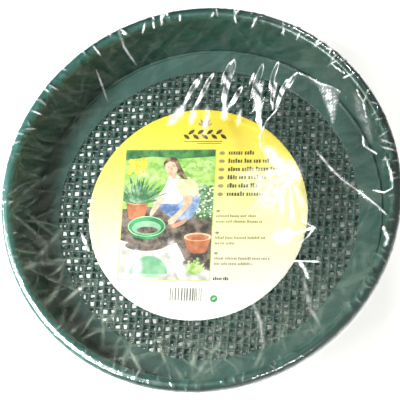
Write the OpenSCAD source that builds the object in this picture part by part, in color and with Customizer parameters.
// Round garden sieve: a deep moulded pan with a rolled rim and an open floor, two exchangeable
// square-mesh inserts stacked on the pan's seat, a round label card lying on the upper insert,
// and a clear wrapping film over the top. The origin is on the table under the pan's centre,
// +Z is up, and the top of the label card points along +Y.

/* [Pan] */
// Outside diameter over the rolled rim
rim_d = 380; // [360:1:420]
// Height from the table to the top of the rim
pan_h = 80; // [74:1:110]
// Radius of the rim's rolled curve
roll_r = 6; // [5:0.5:8]
// Thickness of the moulded wall
wall = 2.2; // [1.8:0.1:2.8]
// How far the rim's outer lip hangs below the centre of its curve
lip_drop = 7; // [4:0.5:12]
// Radius of the upright seat that the inserts drop into
seat_r = 170.3; // [168:0.1:172]
// Inner radius of the ledge that carries the inserts
ledge_r = 156; // [150:1:162]
// Thickness of the ledge
ledge_t = 3; // [2:0.5:5]
// Height of the ledge's underside above the table
foot_h = 8; // [5:1:16]

/* [Inserts] */
// Outer radius of both inserts
insert_r = 169.8; // [166:0.1:169.8]
// Radius of the mesh, inside the plain flange
mesh_r = 147; // [140:1:152]
// Thickness of the coarse insert, which lies below
coarse_t = 3.8; // [3:0.1:5]
// Thickness of the fine insert, which lies above
fine_t = 3.2; // [3:0.1:5]
// Side of a square hole in the coarse insert
coarse_hole = 6; // [5:0.1:7]
// Distance from hole to hole in the coarse insert
coarse_pitch = 9.58; // [9:0.01:10]
// Turn of the coarse insert's mesh about +Z, in degrees
coarse_turn = 9.35; // [-45:0.05:45]
// Side of a square hole in the fine insert
fine_hole = 4.2; // [3.5:0.1:4.6]
// Distance from hole to hole in the fine insert
fine_pitch = 6.95; // [6.5:0.01:7.5]
// Turn of the fine insert's mesh about +Z, in degrees
fine_turn = -5.25; // [-45:0.05:45]
// How far the ribs lie below the flange's faces
rib_recess = 0.3; // [0.1:0.1:0.5]
// Height of the lip along an insert's outer edge
lip_h = 1.2; // [0.8:0.1:1.6]
// Width of that lip
lip_w = 2.8; // [2:0.1:4]

/* [Label card] */
// Diameter of the round label card
label_d = 215; // [180:1:260]
// Thickness of the card
label_t = 0.8; // [0.5:0.1:1.5]
// Offset of the card from the centre, along X
label_x = -9.5; // [-30:0.5:30]
// Offset of the card from the centre, along Y
label_y = -1; // [-30:0.5:30]

/* [Film] */
// Thickness of the solid that stands for the wrapping film
film_t = 0.6; // [0.4:0.1:1]
// Clear space between the film and the rim
film_gap = 0.5; // [0.3:0.1:1]
// How far the film sags at the centre of the pan
film_sag = 3; // [1:0.5:12]
// Length of the film's skirt below the centre of the rim's curve
skirt_l = 8; // [6:1:14]

/* [Hidden] */
$fn = 180;
// The rolled rim's curve, as seen in a section through the pan
roll_x = rim_d / 2 - roll_r;
roll_z = pan_h - roll_r;
// Heights of the faces that rest on each other
ledge_z = foot_h + ledge_t;
fine_z = ledge_z + coarse_t;
stack_z = fine_z + fine_t;
// The seat stands a little above the upper insert's lip
seat_room = 0.4;
seat_z = stack_z + lip_h + seat_room;
// Room under an insert's lip for the lip of the insert below
lip_room = 0.2;
// How far the ribs run into the flange, and how near its edge the last rib may lie
rib_bite = 2.5;
edge_gap = 3;
// The card lies just clear of the ribs
card_room = 0.1;
card_z = stack_z - rib_recess + card_room;
film_z = pan_h + film_gap;
film_steps = 12;

// Half of a round tube's section, open below: outer radius r and thickness t
module arch(r, t) {
    difference() {
        circle(r = r);
        circle(r = r - t);
        translate([-r - 1, -r - 1]) square([2 * r + 2, r + 1]);
    }
}

// The pan is one moulding: rolled rim, sloping wall, seat, ledge and foot
module pan() {
    color([0.20, 0.42, 0.37])
    rotate_extrude() {
        translate([roll_x, roll_z]) arch(roll_r, wall);
        translate([rim_d / 2 - wall, roll_z - lip_drop]) square([wall, lip_drop]);
        polygon([
            [roll_x - roll_r, roll_z],
            [seat_r, seat_z],
            [seat_r, 0],
            [seat_r + wall, 0],
            [seat_r + wall, seat_z],
            [roll_x - roll_r + wall, roll_z]
        ]);
        translate([ledge_r, foot_h]) square([seat_r + wall / 2 - ledge_r, ledge_t]);
    }
}

// The plain flange around a mesh, with its lip stepped up so that two inserts nest
module flange(t) {
    step_r = insert_r - lip_w;
    rotate_extrude() polygon([
        [mesh_r, 0],
        [step_r - lip_room, 0],
        [step_r - lip_room, lip_h + lip_room],
        [insert_r, lip_h + lip_room],
        [insert_r, t + lip_h],
        [step_r, t + lip_h],
        [step_r, t],
        [mesh_r, t]
    ]);
}

// Parallel ribs along X that fill the mesh's circle
module ribs(pitch, width, height) {
    last = floor((mesh_r - edge_gap) / pitch - 0.5);
    for (i = [-last - 1 : last]) {
        y = (i + 0.5) * pitch;
        half = sqrt(pow(mesh_r + rib_bite, 2) - y * y);
        translate([-half, y - width / 2, 0]) cube([2 * half, width, height]);
    }
}

// An insert: two layers of crossed ribs moulded into one flange
module insert(t, pitch, hole) {
    width = pitch - hole;
    height = t / 2 - rib_recess;
    flange(t);
    translate([0, 0, rib_recess]) ribs(pitch, width, height);
    translate([0, 0, t / 2]) rotate([0, 0, 90]) ribs(pitch, width, height);
}

module coarse_insert() {
    color([0.17, 0.36, 0.32])
    translate([0, 0, ledge_z]) rotate([0, 0, coarse_turn]) insert(coarse_t, coarse_pitch, coarse_hole);
}

module fine_insert() {
    color([0.22, 0.42, 0.38])
    translate([0, 0, fine_z]) rotate([0, 0, fine_turn]) insert(fine_t, fine_pitch, fine_hole);
}

module label_card() {
    color([1.0, 0.93, 0.35])
    translate([label_x, label_y, card_z]) cylinder(d = label_d, h = label_t);
}

// Height of the sagging sheet's underside at radius r
function sheet_z(r) = film_z - film_sag * (1 - pow(r / roll_x, 2));

// The film: a sagging sheet across the pan, a curve over the rim and a skirt outside it
module shrink_film() {
    radii = [for (k = [0 : film_steps]) roll_x * k / film_steps];
    inner = roll_r + film_gap;
    color([0.9, 0.95, 0.95, 0.25])
    rotate_extrude() {
        polygon(concat(
            [for (r = radii) [r, sheet_z(r)]],
            [for (k = [film_steps : -1 : 0]) [radii[k], sheet_z(radii[k]) + film_t]]
        ));
        translate([roll_x, roll_z]) intersection() {
            arch(inner + film_t, film_t);
            square(inner + film_t + 1);
        }
        translate([roll_x + inner, roll_z - skirt_l]) square([film_t, skirt_l]);
    }
}

pan();
coarse_insert();
fine_insert();
label_card();
shrink_film();
